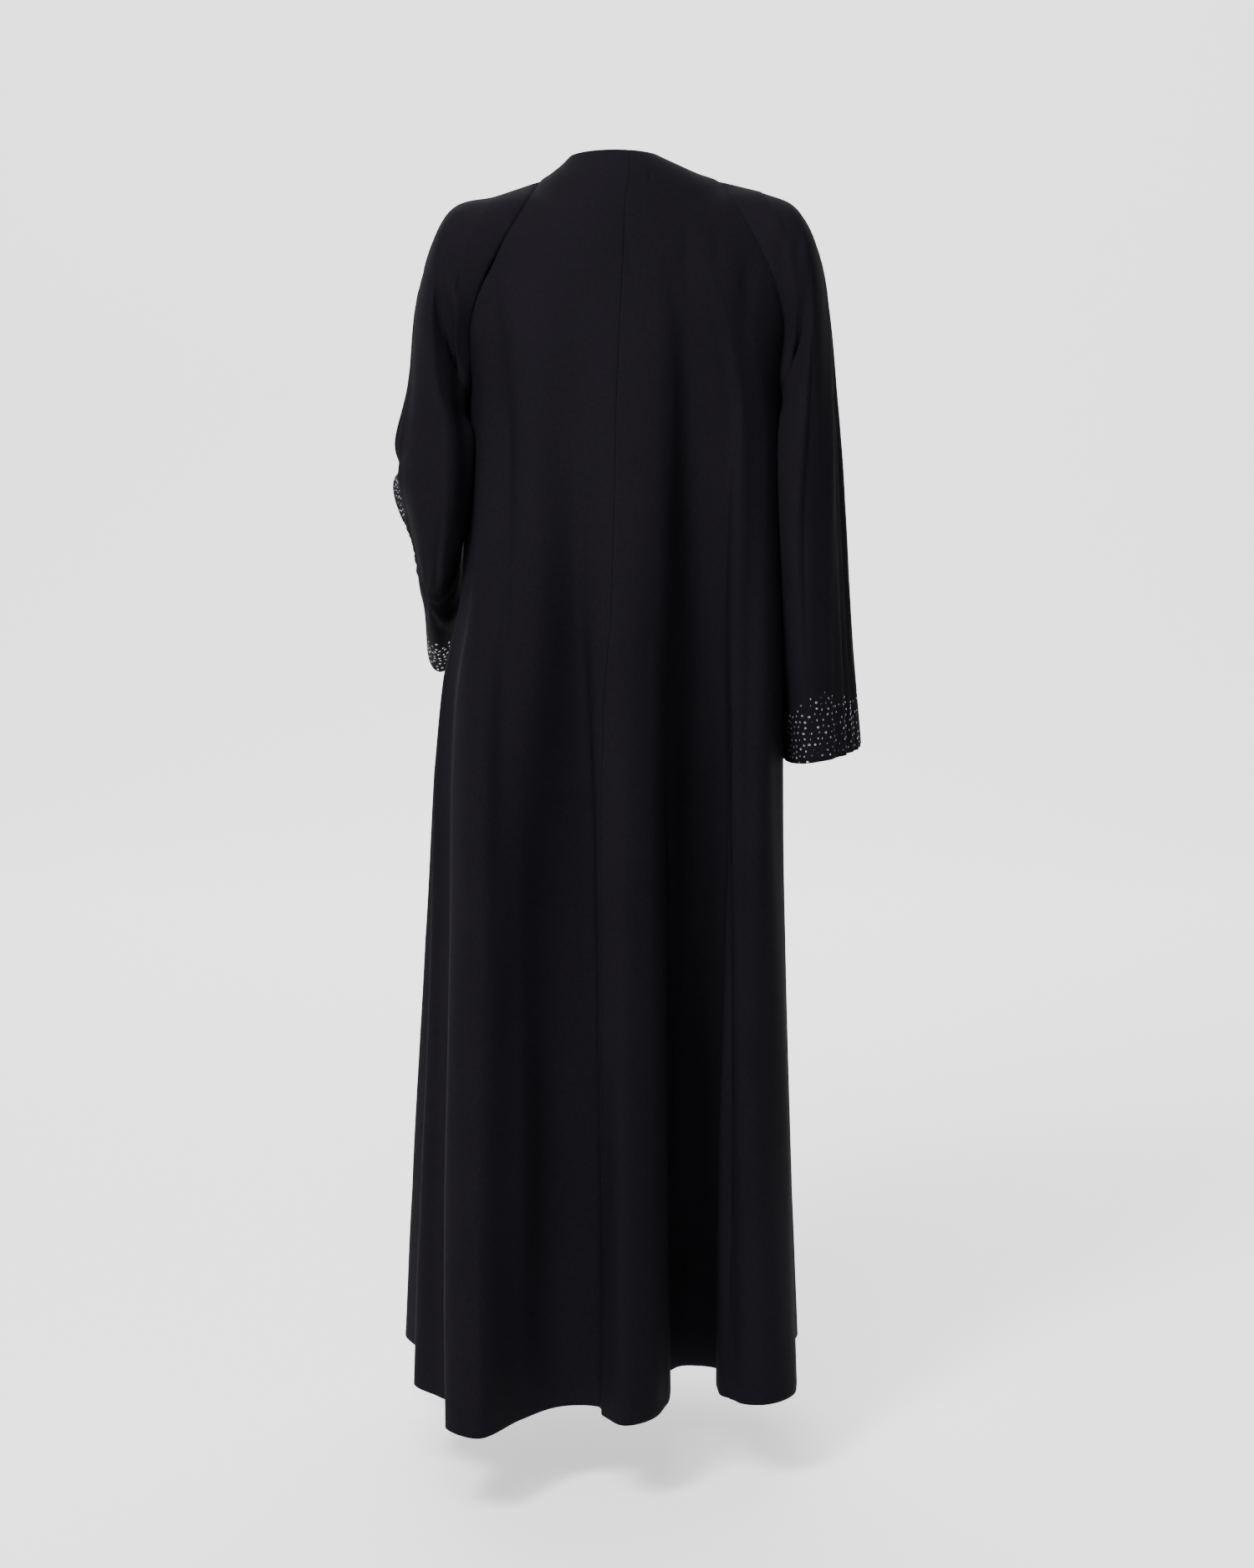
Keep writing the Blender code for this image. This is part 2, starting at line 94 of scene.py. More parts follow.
# Where each fold's crest or hollow stands at the hem, from the centre back to the left
Fold = namedtuple("Fold", "name turn x y power")
folds = [
    Fold("centreBack", 4, 0.020, 0.212, 1.2),
    Fold("backHollowLeft", 17, 0.052, 0.193, 1.2),
    Fold("backSlopeLeft", 35, 0.103, 0.226, 1.2),
    Fold("backCrestLeft", 55, 0.155, 0.283, 1.3),
    Fold("backEdgeLeft", 66, 0.192, 0.252, 1.7),
    Fold("sideTuckLeft", 72, 0.185, 0.176, 2.2),
    Fold("sideCrestLeft", 78, 0.206, 0.147, 2.2),
    Fold("sideEdgeLeft", 84, 0.235, 0.106, 1.7),
    Fold("sideSeamLeft", 90, 0.224, 0.022, 1.3),
    Fold("hipCrestLeft", 99, 0.258, -0.066, 1.3),
    Fold("hipTurnLeft", 105, 0.251, -0.100, 1.3),
    Fold("frontTuckLeft", 113, 0.212, -0.130, 1.5),
    Fold("frontCrestLeft", 122, 0.206, -0.196, 1.3),
    Fold("frontTurnLeft", 129, 0.182, -0.216, 1.3),
    Fold("frontHollowLeft", 142, 0.139, -0.170, 1.3),
    Fold("frontRidgeLeft", 153, 0.104, -0.228, 1.3),
    Fold("ridgeTurnLeft", 160, 0.080, -0.235, 1.3),
    Fold("frontDipLeft", 171, 0.046, -0.200, 1.2),
    Fold("centreFront", 180, 0.014, -0.208, 1.2),
    Fold("frontDipRight", 191, -0.028, -0.197, 1.2),
    Fold("ridgeTurnRight", 202, -0.060, -0.235, 1.3),
    Fold("frontRidgeRight", 209, -0.086, -0.236, 1.3),
    Fold("frontHollowRight", 221, -0.114, -0.172, 1.3),
    Fold("frontTurnRight", 233, -0.154, -0.210, 1.3),
    Fold("frontCrestRight", 240, -0.178, -0.195, 1.3),
    Fold("frontTuckRight", 250, -0.186, -0.134, 1.5),
    Fold("hipTurnRight", 258, -0.208, -0.104, 1.3),
    Fold("hipCrestRight", 264, -0.213, -0.074, 1.3),
    Fold("sideSeamRight", 270, -0.192, 0.010, 1.3),
    Fold("sideEdgeRight", 279, -0.203, 0.104, 1.6),
    Fold("sideCrestRight", 287, -0.197, 0.140, 1.5),
    Fold("backCrestRight", 299, -0.160, 0.175, 1.2),
    Fold("backEdgeRight", 312, -0.116, 0.160, 1.3),
    Fold("deepFootRight", 319, -0.107, 0.056, 1.3),
    Fold("deepFootLeft", 334, -0.064, 0.051, 1.3),
    Fold("ridgeEdgeRight", 343, -0.054, 0.176, 1.2),
    Fold("ridgeSlopeRight", 348, -0.037, 0.218, 1.2),
    Fold("ridgeCrest", 355, -0.004, 0.240, 1.2),
]

# A sleeve's rings: outer point centre + lateral, back point centre + depth + belly
Ring = namedtuple("Ring", "centre lateral depth belly drop")
sleeveRings = {
    "sleeve_left": [
        Ring((0.157, 0.000, -0.137), (-0.020, 0.113), (0, 0.080, 0), (0.022, 0.020), 0),
        Ring((0.186, 0.000, -0.152), (0.006, 0.109), (0, 0.074, 0), (0.014, 0.025), 0),
        Ring((0.206, 0.004, -0.205), (0.020, 0.074), (0, 0.078, -0.005), (0, 0.010), 0),
        Ring((0.208, 0.010, -0.262), (0.030, 0.027), (-0.006, 0.078, -0.022), (-0.006, 0), 0),
        Ring((0.217, 0.014, -0.321), (0.036, 0.012), (-0.010, 0.074, -0.048), (-0.008, 0), 0),
        Ring((0.216, -0.012, -0.369), (0.034, 0.004), (-0.008, 0.060, -0.062), (-0.004, 0), 0.3),
        Ring((0.217, -0.080, -0.420), (0.032, 0), (-0.012, 0.030, -0.100), (0, 0), 0.8),
        Ring((0.222, -0.150, -0.457), (0.036, 0), (-0.018, 0.012, -0.118), (0, 0), 1.0),
    ],
    "sleeve_right": [
        Ring((0.171, 0.000, -0.134), (-0.016, 0.115), (0, 0.080, 0), (0.020, 0.020), 0),
        Ring((0.194, 0.000, -0.150), (0.005, 0.109), (0, 0.076, 0), (0.012, 0.025), 0),
        Ring((0.211, -0.002, -0.195), (0.017, 0.083), (0, 0.080, 0), (0, 0.010), 0),
        Ring((0.217, -0.006, -0.287), (0.030, 0.018), (-0.004, 0.082, 0), (-0.005, 0), 0),
        Ring((0.222, -0.014, -0.384), (0.035, 0), (-0.009, 0.088, 0), (-0.009, 0), 0),
        Ring((0.227, -0.022, -0.512), (0.039, 0), (-0.010, 0.097, 0), (-0.009, 0), 0),
        Ring((0.234, -0.030, -0.652), (0.044, 0.006), (-0.010, 0.108, 0), (-0.006, 0), 0),
    ],
}

# A cuff hanging from a bent arm, from its foot (1) to its top (-1)
Drop = namedtuple("Drop", "at shift width")
cuffDrop = [
    Drop(1.0, 0.010, 1.00),
    Drop(0.5, -0.006, 0.75),
    Drop(-0.1, -0.016, 0.58),
    Drop(-0.5, -0.006, 1.05),
    Drop(-1.0, 0.014, 1.32),
]


def tableAt(rows, positions):
    # rows at fractional indices, on a smooth curve through the table's own
    values = np.array([np.hstack(row) for row in rows], float)
    last = len(values) - 1
    index = np.clip(np.asarray(positions).astype(int), 0, last - 1)
    share = (positions - index)[:, None]
    p, q = values[np.maximum(index - 1, 0)], values[index]
    r, s = values[index + 1], values[np.minimum(index + 2, last)]
    slopeQ = np.where((index > 0)[:, None], (r - p) / 2, r - q)
    slopeR = np.where((index < last - 1)[:, None], (s - q) / 2, r - q)
    return (
        q * (2 * share**3 - 3 * share**2 + 1)
        + slopeQ * (share**3 - 2 * share**2 + share)
        + r * (3 * share**2 - 2 * share**3)
        + slopeR * (share**3 - share**2)
    )


def positionOf(rows, column, values):
    # the fractional index where a falling column reaches each value
    given = np.array([getattr(row, column) for row in rows])
    return np.interp(-np.asarray(values), -given, np.arange(len(rows)))


def smooth(share):
    share = np.clip(share, 0.0, 1.0)
    return share * share * (3 - 2 * share)


def curveBetween(before, start, end, after, shares):
    # a centripetal Catmull-Rom curve from start to end
    gaps = [max(np.linalg.norm(b - a), 1e-6) ** 0.5 for a, b in
            ((before, start), (start, end), (end, after))]
    t0, t1 = 0.0, gaps[0]
    t2, t3 = t1 + gaps[1], t1 + gaps[1] + gaps[2]
    t = (t1 + (t2 - t1) * shares)[:, None]
    a1 = before * (t1 - t) / (t1 - t0) + start * (t - t0) / (t1 - t0)
    a2 = start * (t2 - t) / (t2 - t1) + end * (t - t1) / (t2 - t1)
    a3 = end * (t3 - t) / (t3 - t2) + after * (t - t2) / (t3 - t2)
    b1 = a1 * (t2 - t) / (t2 - t0) + a2 * (t - t0) / (t2 - t0)
    b2 = a2 * (t3 - t) / (t3 - t1) + a3 * (t - t1) / (t3 - t1)
    return b1 * (t2 - t) / (t2 - t1) + b2 * (t - t1) / (t2 - t1)


def makeColumns():
    # lines of cloth round the hem: turn, place at the hem, power, and each fold's index
    places = np.array([(f.x, f.y, garment["hemZ"]) for f in folds])
    turns, hems, powers, index = [], [], [], {}
    count = len(folds)
    for i, fold in enumerate(folds):
        after = folds[(i + 1) % count]
        start, end = places[i], places[(i + 1) % count]
        steps = max(2, round(np.linalg.norm(end - start) / garment["hemStep"]))
        shares = np.arange(steps) / steps
        index[fold.name] = sum(len(t) for t in turns)
        turns.append(fold.turn + (after.turn - fold.turn) % 360 * shares)
        hems.append(curveBetween(places[i - 1], start, end, places[(i + 2) % count], shares))
        powers.append(fold.power + (after.power - fold.power) * shares)
    return np.concatenate(turns), np.vstack(hems), np.concatenate(powers), index


def foldShift(z, turns, hems, powers):
    # how far the folds have opened at each height, as an offset from the smooth body
    last = levels[-1]
    angle = np.radians(turns)
    depth = np.where(np.cos(angle) > 0, last.back, last.front)
    rim = np.stack((last.centre + last.halfWidth * np.sin(angle), depth * np.cos(angle),
                    np.full_like(angle, last.z)), axis=-1)
    start, hem = garment["foldStartZ"], garment["hemZ"]
    opened = np.clip((start - z) / (start - hem), 0, None) ** powers
    return opened[..., None] * (hems - rim)


def skirtGrid(z, turns, hems, powers):
    rows = tableAt(levels, positionOf(levels, "z", z))
    angle = np.radians(turns)[None, :]
    centre, half, back, front = (rows[:, i][:, None] for i in (1, 2, 3, 4))
    depth = np.where(np.cos(angle) > 0, back, front)
    height = np.broadcast_to(z[:, None], (len(z), len(turns)))
    grid = np.stack((centre + half * np.sin(angle), depth * np.cos(angle), height), axis=-1)
    return grid + foldShift(height, turns[None, :], hems[None], powers[None, :])


def yokeGrid(positions, turns, hems, powers, isBack):
    rows = tableAt(yokeRows, positions)
    centre, half, sideY, sideZ, arc, back, backZ, front, frontZ, skew = (
        rows[:, i][:, None] for i in range(10)
    )
    near = (turns + 180) % 360 - 180 if isBack else 180 - turns
    near = np.broadcast_to(near[None, :], (len(rows), len(turns)))
    if isBack:
        near = near + skew * np.clip(1 - np.abs(near) / 90, 0, 1)
    arc = np.radians(arc)
    angle = near / 90 * arc
    depth, middleZ = (back, backZ) if isBack else (front, frontZ)
    rise = (1 - np.cos(angle)) / (1 - np.cos(arc))
    x = centre + half * np.sin(angle) / np.sin(arc)
    y = (depth + (sideY - depth) * rise) * (1 if isBack else -1)
    z = middleZ + (sideZ - middleZ) * rise
    return np.stack((x, y, z), axis=-1) + foldShift(z, turns[None, :], hems[None], powers[None, :])


def panelGrid(columns, first, last, isBack):
    # a panel's points from the neck edge down to the hem
    turns, hems, powers, index = columns
    start, end = index[first], index[last]
    if end < start:
        end += len(turns)
    chosen = np.arange(start, end + 1) % len(turns)
    turns, hems, powers = turns[chosen], hems[chosen], powers[chosen]
    if last == "centreBack":
        turns = np.where(turns < 90, turns + 360, turns)
    shoulder = garment["shoulderRow"]
    neck = np.linspace(0, shoulder, garment["neckRows"] + 1)
    arm = np.linspace(shoulder, len(yokeRows) - 1, garment["armholeRows"] + 1)
    z = np.linspace(garment["underarmZ"], garment["hemZ"], garment["skirtRows"] + 1)
    yoke = yokeGrid(np.concatenate((neck, arm[1:-1])), turns, hems, powers, isBack)
    grid = np.vstack((yoke, skirtGrid(z, turns, hems, powers)))
    # eases the change of slope where the yoke meets the skirt
    first, last = len(yoke) - garment["easedRows"], len(yoke) + garment["easedRows"]
    for _ in range(garment["easings"]):
        grid[first:last] = (grid[first - 1:last - 1] + 2 * grid[first:last] + grid[first + 1:last + 1]) / 4
    return grid


def walkRows(grid, distances):
    # the points at given distances along each row from its first point
    rows = []
    for row in grid:
        run = np.concatenate(([0], np.cumsum(np.linalg.norm(np.diff(row, axis=0), axis=1))))
        rows.append([[np.interp(d, run, row[:, k]) for k in range(3)] for d in distances])
    return np.array(rows)


def sleeveGrid(name, loop):
    # a sleeve's rings, from the armhole's loop down to the cuff
    side = 1 if name == "sleeve_left" else -1
    rings = sleeveRings[name]
    count = (len(rings) - 1) * garment["sleeveSteps"]
    rows = tableAt(rings, np.linspace(0, len(rings) - 1, count + 1))
    angle = np.linspace(0, 2 * math.pi, len(loop), endpoint=False)[None, :]
    across, along = np.cos(angle), np.sin(angle)
    hang = tableAt(cuffDrop, positionOf(cuffDrop, "at", along[0]))
    part = [rows[:, i][:, None] for i in range(11)]
    drop = part[10]
    width = 1 + (hang[:, 2][None, :] - 1) * drop
    shift = hang[:, 1][None, :] * drop
    x = part[0] + part[3] * across * width + shift + part[5] * along + part[8] * along**2
    y = part[1] + part[6] * along
    z = part[2] + part[4] * across + part[7] * along + part[9] * along**2
    grid = np.stack((x * side, y, z), axis=-1)
    # a few rings between the armhole and the first of the table
    bridge = [loop + (grid[0] - loop) * t for t in np.linspace(0, 1, 7)[:-1]]
    return np.concatenate((np.array(bridge), grid))


def gridNormals(grid, closed, facing):
    down = np.gradient(grid, axis=0)
    if closed:
        across = (np.roll(grid, -1, axis=1) - np.roll(grid, 1, axis=1)) / 2
    else:
        across = np.gradient(grid, axis=1)
    normal = np.cross(across, down) * facing
    return normal / np.maximum(np.linalg.norm(normal, axis=-1, keepdims=True), 1e-12)


def shareNormals(parts):
    # pieces that meet at a seam use one direction along it
    points = np.concatenate([p["grid"].reshape(-1, 3) for p in parts.values()])
    normals = np.concatenate([
        gridNormals(p["grid"], p["closed"], p["facing"]).reshape(-1, 3) for p in parts.values()
    ])
    keys, group = np.unique(np.round(points, 6), axis=0, return_inverse=True)
    group = group.reshape(-1)
    total = np.zeros((len(keys), 3))
    np.add.at(total, group, normals)
    total /= np.maximum(np.linalg.norm(total, axis=1, keepdims=True), 1e-12)
    shared = total[group]
    start = 0
    for p in parts.values():
        size = p["grid"].shape[0] * p["grid"].shape[1]
        p["normal"] = shared[start:start + size].reshape(p["grid"].shape)
        start += size


# Creases, listed one by one. Each runs start, bend, end in the plane that its side is seen in:
# x and z on the back and front, y and z on the outer and inner sides of a sleeve.
# Depth is below the surface, and "peak" says how far along the deepest place is.
# "lean" makes the slope towards +x or +y that many times as wide as the other one.
Crease = namedtuple("Crease", "part side start bend end depth width peak lean", defaults=(1,))
creases = [
    # broad troughs of the skirt: a long slope, then a steep one up to the next fold
    Crease("body", "back", (0.053, -0.400), (0.038, -0.780), (0.034, -2.400), 0.0450, 0.011, 0.30, 6.0),
    Crease("body", "back", (-0.098, -0.420), (-0.122, -0.800), (-0.129, -2.400), 0.0170, 0.012, 0.30, 4.2),
    # long soft folds that fall from the blades
    Crease("body", "back", (0.128, -0.110), (0.131, -0.450), (0.134, -0.950), 0.0120, 0.015, 0.30),
    Crease("body", "back", (0.092, -0.140), (0.090, -0.450), (0.092, -0.850), -0.0060, 0.017, 0.35),
    Crease("body", "back", (0.050, -0.160), (0.051, -0.520), (0.046, -1.020), 0.0115, 0.018, 0.45),
    Crease("body", "back", (0.002, -0.180), (0.004, -0.480), (0.000, -0.850), -0.0060, 0.022, 0.40),
    Crease("body", "back", (-0.076, -0.130), (-0.086, -0.450), (-0.080, -0.860), 0.0140, 0.027, 0.40),
    Crease("body", "back", (-0.128, -0.150), (-0.132, -0.420), (-0.128, -0.760), -0.0060, 0.016, 0.35),
    Crease("body", "back", (-0.141, -0.340), (-0.143, -0.660), (-0.140, -0.980), 0.0022, 0.005, 0.45),
    Crease("body", "back", (-0.158, -0.200), (-0.162, -0.480), (-0.160, -0.900), -0.0080, 0.016, 0.45),
    Crease("body", "back", (0.160, -0.220), (0.166, -0.560), (0.172, -1.000), -0.0035, 0.014, 0.50),
    Crease("body", "back", (0.014, -0.900), (0.022, -1.120), (0.026, -1.340), 0.0040, 0.008, 0.55),
    Crease("body", "back", (0.094, -0.820), (0.100, -1.080), (0.108, -1.340), -0.0050, 0.020, 0.55),
    Crease("body", "front", (0.052, -0.160), (0.060, -0.560), (0.070, -1.100), 0.0060, 0.016, 0.40),
    Crease("body", "front", (0.116, -0.130), (0.122, -0.480), (0.130, -0.980), 0.0070, 0.015, 0.35),
    Crease("body", "front", (0.086, -0.200), (0.090, -0.600), (0.094, -0.940), -0.0040, 0.017, 0.50),
    Crease("body", "front", (-0.060, -0.150), (-0.066, -0.520), (-0.062, -1.040), 0.0065, 0.018, 0.45),
    Crease("body", "front", (-0.120, -0.120), (-0.126, -0.440), (-0.128, -0.900), 0.0060, 0.014, 0.35),
    Crease("body", "front", (-0.094, -0.240), (-0.098, -0.520), (-0.094, -0.880), -0.0035, 0.016, 0.45),
    # short ones below the shoulders
    Crease("body", "back", (0.140, -0.050), (0.143, -0.200), (0.140, -0.420), 0.0045, 0.011, 0.25),
    Crease("body", "back", (0.120, -0.105), (0.116, -0.230), (0.113, -0.380), -0.0020, 0.010, 0.30),
    Crease("body", "back", (-0.006, -0.035), (-0.007, -0.085), (-0.016, -0.140), 0.0020, 0.007, 0.4),
    Crease("body", "back", (-0.072, -0.050), (-0.074, -0.090), (-0.070, -0.135), 0.0016, 0.007, 0.4),
    Crease("body", "back", (-0.103, -0.050), (-0.105, -0.090), (-0.112, -0.120), 0.0016, 0.007, 0.4),
    Crease("body", "back", (-0.143, -0.080), (-0.136, -0.150), (-0.134, -0.240), 0.0030, 0.010, 0.3),
    # fullness under the arms
    Crease("body", "outer", (0.010, -0.170), (0.010, -0.270), (0.010, -0.380), -0.0060, 0.045, 0.5),
    # short dents left by the two tacks behind the neck
    Crease("body", "back", (0.032, 0.000), (0.032, -0.010), (0.032, -0.020), 0.0012, 0.003, 0.5),
    Crease("body", "back", (-0.033, 0.004), (-0.033, -0.005), (-0.033, -0.014), 0.0012, 0.003, 0.5),
    # the left sleeve, dragged towards the bent elbow and lying against the back
    Crease("sleeve_left", "inner", (0.046, -0.160), (0.048, -0.340), (0.044, -0.600), -0.0170, 0.028, 0.26),
    Crease("sleeve_left", "back", (0.205, -0.075), (0.196, -0.150), (0.176, -0.230), 0.0060, 0.010, 0.45),
    Crease("sleeve_left", "back", (0.190, -0.070), (0.180, -0.110), (0.168, -0.150), 0.0040, 0.008, 0.5),
    Crease("sleeve_left", "back", (0.222, -0.150), (0.214, -0.240), (0.196, -0.320), 0.0040, 0.012, 0.5),
    Crease("sleeve_left", "outer", (0.060, -0.300), (0.000, -0.330), (-0.070, -0.350), 0.0050, 0.012, 0.4),
    Crease("sleeve_left", "outer", (0.050, -0.380), (-0.020, -0.400), (-0.090, -0.400), -0.0040, 0.012, 0.4),
    Crease("sleeve_left", "outer", (-0.060, -0.120), (-0.062, -0.200), (-0.050, -0.290), 0.0040, 0.012, 0.5),
    # the right sleeve, hanging straight against the back
    Crease("sleeve_right", "inner", (0.050, -0.150), (0.052, -0.380), (0.046, -0.760), -0.0170, 0.028, 0.20),
    Crease("sleeve_right", "back", (-0.178, -0.050), (-0.180, -0.085), (-0.178, -0.120), 0.0030, 0.007, 0.5),
    Crease("sleeve_right", "back", (-0.194, -0.050), (-0.196, -0.085), (-0.196, -0.110), 0.0024, 0.007, 0.5),
    Crease("sleeve_right", "back", (-0.214, -0.200), (-0.212, -0.330), (-0.214, -0.480), 0.0030, 0.012, 0.4),
    Crease("sleeve_right", "outer", (0.020, -0.120), (0.024, -0.300), (0.030, -0.520), 0.0036, 0.016, 0.4),
    Crease("sleeve_right", "outer", (-0.060, -0.140), (-0.056, -0.260), (-0.066, -0.400), 0.0030, 0.012, 0.4),
]


def addCreases(part):
    # moves a piece's points in or out along its creases
    grid, normal = part["grid"], part["normal"]
    depth = np.zeros(grid.shape[:2])
    outward = np.sign(grid[..., 0])
    views = {
        "back": ((0, 2), normal[..., 1]),
        "front": ((0, 2), -normal[..., 1]),
        "outer": ((1, 2), normal[..., 0] * outward),
        "inner": ((1, 2), -normal[..., 0] * outward),
    }
    t = np.linspace(0, 1, 61)[:, None]
    for crease in creases:
        if crease.part != part["group"]:
            continue
        plane, facing = views[crease.side]
        start, bend, end = (np.array(p) for p in (crease.start, crease.bend, crease.end))
        path = start * (1 - t) ** 2 + bend * 2 * t * (1 - t) + end * t**2
        course = (bend - start) * 2 * (1 - t) + (end - bend) * 2 * t
        seen = grid[..., list(plane)]
        nearest = np.linalg.norm(seen[:, :, None, :] - path[None, None], axis=-1).argmin(axis=-1)
        course, offset = course[nearest], seen - path[nearest]
        speed = np.linalg.norm(course, axis=-1)
        along = np.clip(t[nearest, 0] + (offset * course).sum(axis=-1) / speed**2, 0, 1)
        gap = np.abs(offset[..., 0] * course[..., 1] - offset[..., 1] * course[..., 0]) / speed
        fade = np.where(along < crease.peak, along / crease.peak, (1 - along) / (1 - crease.peak))
        wide = np.where(seen[..., 0] > path[nearest][..., 0], crease.width * crease.lean, crease.width)
        shape = np.exp(-((gap / wide) ** 2)) * smooth(fade) * smooth(facing * 3)
        depth -= crease.depth * shape
    part["grid"] = grid + normal * depth[..., None]


unevenness = {"seed": 11, "waves": 16, "height": 0.0009}  # soft, wandering ripples down the cloth


def addUnevenness(part):
    # long vertical ripples of unequal width, the same on both sides of a seam
    grid = part["grid"]
    random = np.random.default_rng(unevenness["seed"])
    centre = 0.0 if part["group"] == "body" else 0.22 * (1 if part["group"] == "sleeve_left" else -1)
    turn = np.arctan2(grid[..., 0] - centre, grid[..., 1])
    z = grid[..., 2]
    ripple = np.zeros(z.shape)
    for _ in range(unevenness["waves"]):
        count = random.integers(3, 19)
        drift, phase = random.uniform(-3, 3), random.uniform(0, 2 * math.pi)
        swell, swellPhase = random.uniform(2, 6), random.uniform(0, 2 * math.pi)
        ripple += np.sin(count * turn + drift * z + phase) * np.sin(swell * z + swellPhase)
    ripple *= unevenness["height"] / math.sqrt(unevenness["waves"]) * 2
    settle = smooth((0.02 - z) / 0.25)
    part["grid"] = grid + part["normal"] * (ripple * settle)[..., None]


seam = {"groove": 0.0005, "near": 0.0013, "far": 0.0032}


def rollSeam(part, end):
    # two fine columns beside a seam, so that the cloth dips into it over a few millimetres
    grid, normal = part["grid"], part["normal"]
    if end == "last":
        grid, normal = grid[:, ::-1], normal[:, ::-1]
    step = np.linalg.norm(grid[:, 1] - grid[:, 0], axis=1)
    near = np.minimum(seam["near"] / step, 0.3)[:, None]
    far = np.minimum(seam["far"] / step, 0.7)[:, None]
    inset = np.minimum(garment["seamGap"] / 2 / step, 0.1)[:, None]
    edge = grid[:, 0] * (1 - inset) + grid[:, 1] * inset - normal[:, 0] * seam["groove"]
    first = grid[:, 0] * (1 - near) + grid[:, 1] * near - normal[:, 0] * seam["groove"] * 0.35
    second = grid[:, 0] * (1 - far) + grid[:, 1] * far
    grid = np.concatenate((np.stack((edge, first, second), axis=1), grid[:, 1:]), axis=1)
    normal = np.concatenate((normal[:, :1], normal[:, :1], normal), axis=1)
    if end == "last":
        grid, normal = grid[:, ::-1], normal[:, ::-1]
    part["grid"], part["normal"] = grid, normal


def rollArmhole(part):
    # the same dip along a sleeve's first ring
    grid, normal = part["grid"], part["normal"]
    step = np.linalg.norm(grid[1] - grid[0], axis=1)[:, None]
    inset = np.minimum(garment["seamGap"] / 2 / np.maximum(step, 1e-6), 0.1)
    grid[0] = grid[0] * (1 - inset) + grid[1] * inset - normal[0] * seam["groove"]
    part["grid"] = grid


def metresAlong(grid, closed):
    # each point's distance across and down the cloth, for its UV map
    down = np.zeros(grid.shape[:2])
    down[1:] = np.cumsum(np.linalg.norm(np.diff(grid, axis=0), axis=-1), axis=0)
    if closed:
        grid = np.concatenate((grid, grid[:, :1]), axis=1)
        down = np.concatenate((down, down[:, :1]), axis=1)
    across = np.zeros(grid.shape[:2])
    across[:, 1:] = np.cumsum(np.linalg.norm(np.diff(grid, axis=1), axis=-1), axis=1)
    middle = across[:, across.shape[1] // 2][:, None]
    return across - middle, down


def quads(grid, closed):
    # the row, column and corner numbers of each quad over a grid of points
    height, width = grid.shape[:2]
    spans = width if closed else width - 1
    r, c = np.meshgrid(np.arange(height - 1), np.arange(spans), indexing="ij")
    r, c = r.ravel(), c.ravel()
    d = (c + 1) % width
    return r, c, np.stack((r * width + c, (r + 1) * width + c, (r + 1) * width + d, r * width + d), axis=1)


resting = {"clear": 0.0022, "reach": 0.030, "ease": 0.020}  # how sleeves lie against the body


def restSleeves():
    # moves a sleeve's points that would enter the body to just outside it
    points, corners, first = [], [], 0
    for name in panels:
        grid = parts[name]["grid"]
        points.append(grid.reshape(-1, 3))
        corners.append(quads(grid, False)[2][:, ::-1] + first)
        first += len(points[-1])
    body = BVHTree.FromPolygons(np.concatenate(points).tolist(), np.concatenate(corners).tolist())
    for name in ("sleeve_left", "sleeve_right"):
        for point in parts[name]["grid"].reshape(-1, 3):
            below = float(smooth((garment["underarmZ"] - point[2]) / resting["ease"]))
            place, outward, _, _ = body.find_nearest(Vector(point), resting["reach"])
            if below > 0 and place is not None:
                away = (Vector(point) - place).dot(outward)
                if away < resting["clear"] * below:
                    point[:] = place + outward * resting["clear"] * below


def clothMesh(name, grid, closed, facing):
    # a sheet of quads over a grid of points, with a UV map in metres
    r, c, corners = quads(grid, closed)
    across, down = metresAlong(grid, closed)
    places = ((r, c), (r + 1, c), (r + 1, c + 1), (r, c + 1))
    uv = np.stack([np.stack((across[i, j], -down[i, j]), axis=-1) for i, j in places], axis=1)
    if facing < 0:
        corners, uv = corners[:, ::-1], uv[:, ::-1]
    mesh = bpy.data.meshes.new(name)
    mesh.from_pydata(grid.reshape(-1, 3).tolist(), [], corners.tolist())
    layer = mesh.uv_layers.new(name="cloth")
    layer.data.foreach_set("uv", uv.reshape(-1).astype(np.float32))
    mesh.shade_smooth()
    return mesh


def clothPiece(name, mesh, material):
    # gives a sheet its thickness and its material
    mesh.materials.append(material)
    piece = bpy.data.objects.new(name, mesh)
    bpy.context.scene.collection.objects.link(piece)
    shell = piece.modifiers.new("thickness", "SOLIDIFY")
    shell.thickness = garment["clothThickness"]
    shell.offset = 0
    return piece


class Value:
    # a shader socket that ordinary arithmetic can be written with
    def __init__(self, tree, socket):
        self.tree = tree
        self.socket = socket

    def maths(self, operation, *values):
        node = self.tree.nodes.new("ShaderNodeMath")
        node.operation = operation
        for slot, value in zip(node.inputs, values):
            if isinstance(value, Value):
                self.tree.links.new(value.socket, slot)
            else:
                slot.default_value = value
        return Value(self.tree, node.outputs[0])

    def __add__(self, other):
        return self.maths("ADD", self, other)

    def __radd__(self, other):
        return self.maths("ADD", other, self)

    def __sub__(self, other):
        return self.maths("SUBTRACT", self, other)

    def __rsub__(self, other):
        return self.maths("SUBTRACT", other, self)

    def __mul__(self, other):
        return self.maths("MULTIPLY", self, other)

    def __rmul__(self, other):
        return self.maths("MULTIPLY", other, self)

    def __truediv__(self, other):
        return self.maths("DIVIDE", self, other)

    def __pow__(self, other):
        return self.maths("POWER", self, other)


